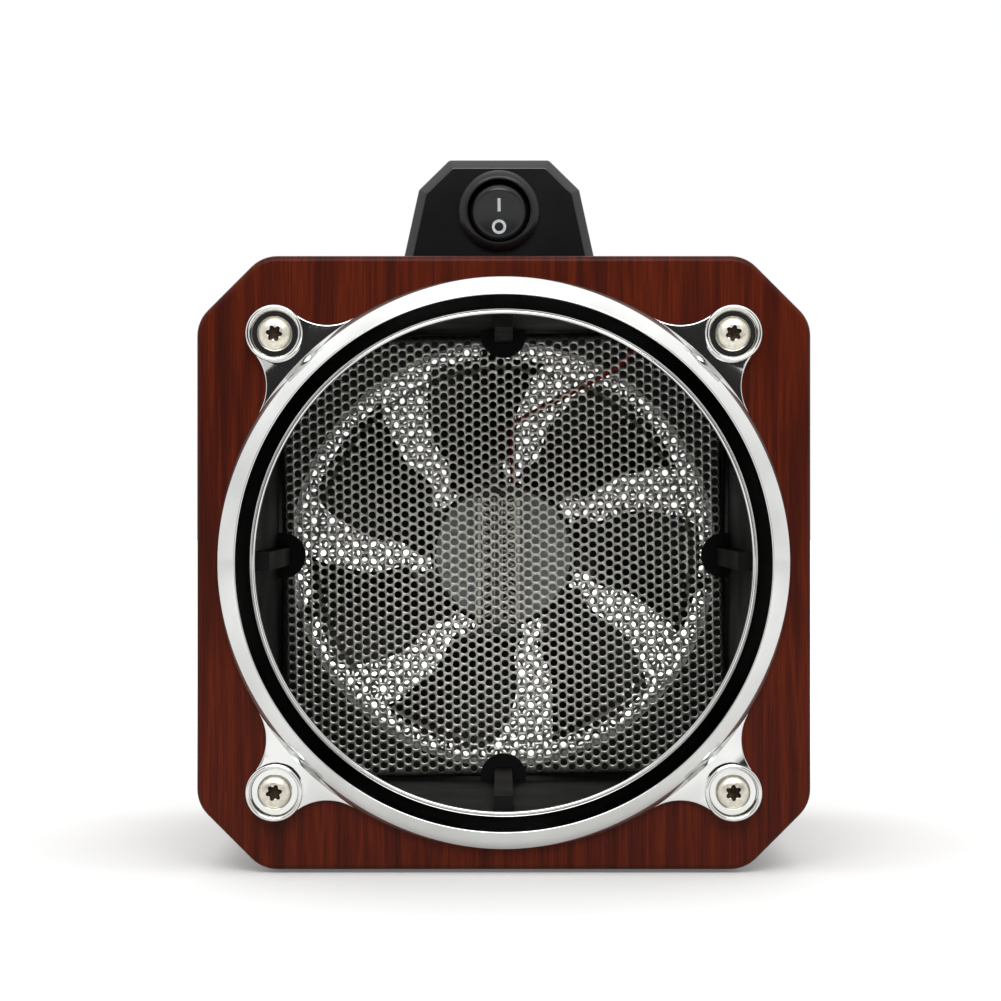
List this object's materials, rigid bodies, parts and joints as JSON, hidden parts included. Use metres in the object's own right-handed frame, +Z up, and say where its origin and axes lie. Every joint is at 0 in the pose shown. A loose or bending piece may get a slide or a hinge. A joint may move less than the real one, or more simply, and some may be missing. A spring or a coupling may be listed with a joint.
{
  "type": "ceramic space heater",
  "caption": "Small octagonal wood-grain box heater: chrome bezel, deep square duct, perforated guard, ceramic heating bar, axial fan, top handle with a round rocker switch.",
  "frame": {"origin": "middle of the footprint, on the surface that the feet stand on", "axes": "+Z up, the front with the chrome bezel faces -Y, +X is to the right as seen from the front"},
  "size_m": [0.168, 0.162, 0.1979],
  "materials": {
    "wood_veneer": "satin mahogany veneer with a fine straight grain",
    "chrome": "bright chrome plating",
    "steel_screws": "bright zinc-plated steel",
    "brass_inserts": "plain brass",
    "black_plastic": "fine-textured black moulding",
    "switch_plastic": "smooth black nylon",
    "mesh_metal": "punched sheet, satin",
    "ptc_ceramic": "dark grey sintered ceramic",
    "red_lead": "red silicone insulation",
    "black_lead": "black insulation",
    "white_block": "natural nylon",
    "motor_steel": "electrical steel",
    "copper_coil": "enamelled copper winding",
    "label": "plain light grey film",
    "board": "green circuit board",
    "rubber": "soft black rubber"
  },
  "bodies": {
    "housing": {"front_panel": "wood_veneer", "cabinet_shell": "wood_veneer", "rear_panel": "wood_veneer", "bezel": "chrome", "bezel_screws": "steel_screws", "duct_screws": "steel_screws", "rear_screws": "steel_screws", "handle_screws": "steel_screws", "threaded_inserts": "brass_inserts", "switch_terminals": "brass_inserts", "handle": "black_plastic", "air_duct": "black_plastic", "mesh_clips": "black_plastic", "rear_spacer": "black_plastic", "fan_frame": "black_plastic", "switch_body": "switch_plastic", "ptc_end_caps": "switch_plastic", "thermal_cutout": "switch_plastic", "front_mesh": "mesh_metal", "rear_mesh": "mesh_metal", "ptc_fins": "mesh_metal", "ptc_rails": "mesh_metal", "ptc_electrodes": "mesh_metal", "ptc_tiles": "ptc_ceramic", "heater_leads": "red_lead", "link_wires": "red_lead", "supply_cable": "black_lead", "fan_wires": "black_lead", "switch_wires": "black_lead", "terminal_block": "white_block", "fan_bearings": "motor_steel", "stator_core": "motor_steel", "stator_windings": "copper_coil", "motor_board": "board", "feet": "rubber", "cord_grommet": "rubber"},
    "fan_rotor": {"fan_wheel": "black_plastic", "rotor_ring": "motor_steel", "rotor_magnet": "ptc_ceramic", "fan_shaft": "motor_steel", "hub_label": "label"},
    "rocker": {"rocker": "switch_plastic"}
  },
  "joints": [
    {"name": "fan_spin", "type": "hinge", "parent": "housing", "child": "fan_rotor", "pos_m": [0, 0.047, 0.085], "axis": [0, 1, 0], "continuous": true},
    {"name": "rocker_tilt", "type": "hinge", "parent": "housing", "child": "rocker", "pos_m": [-0.0013, -0.0525, 0.1832], "axis": [-1, 0, 0], "range_deg": [0, 20]}
  ]
}
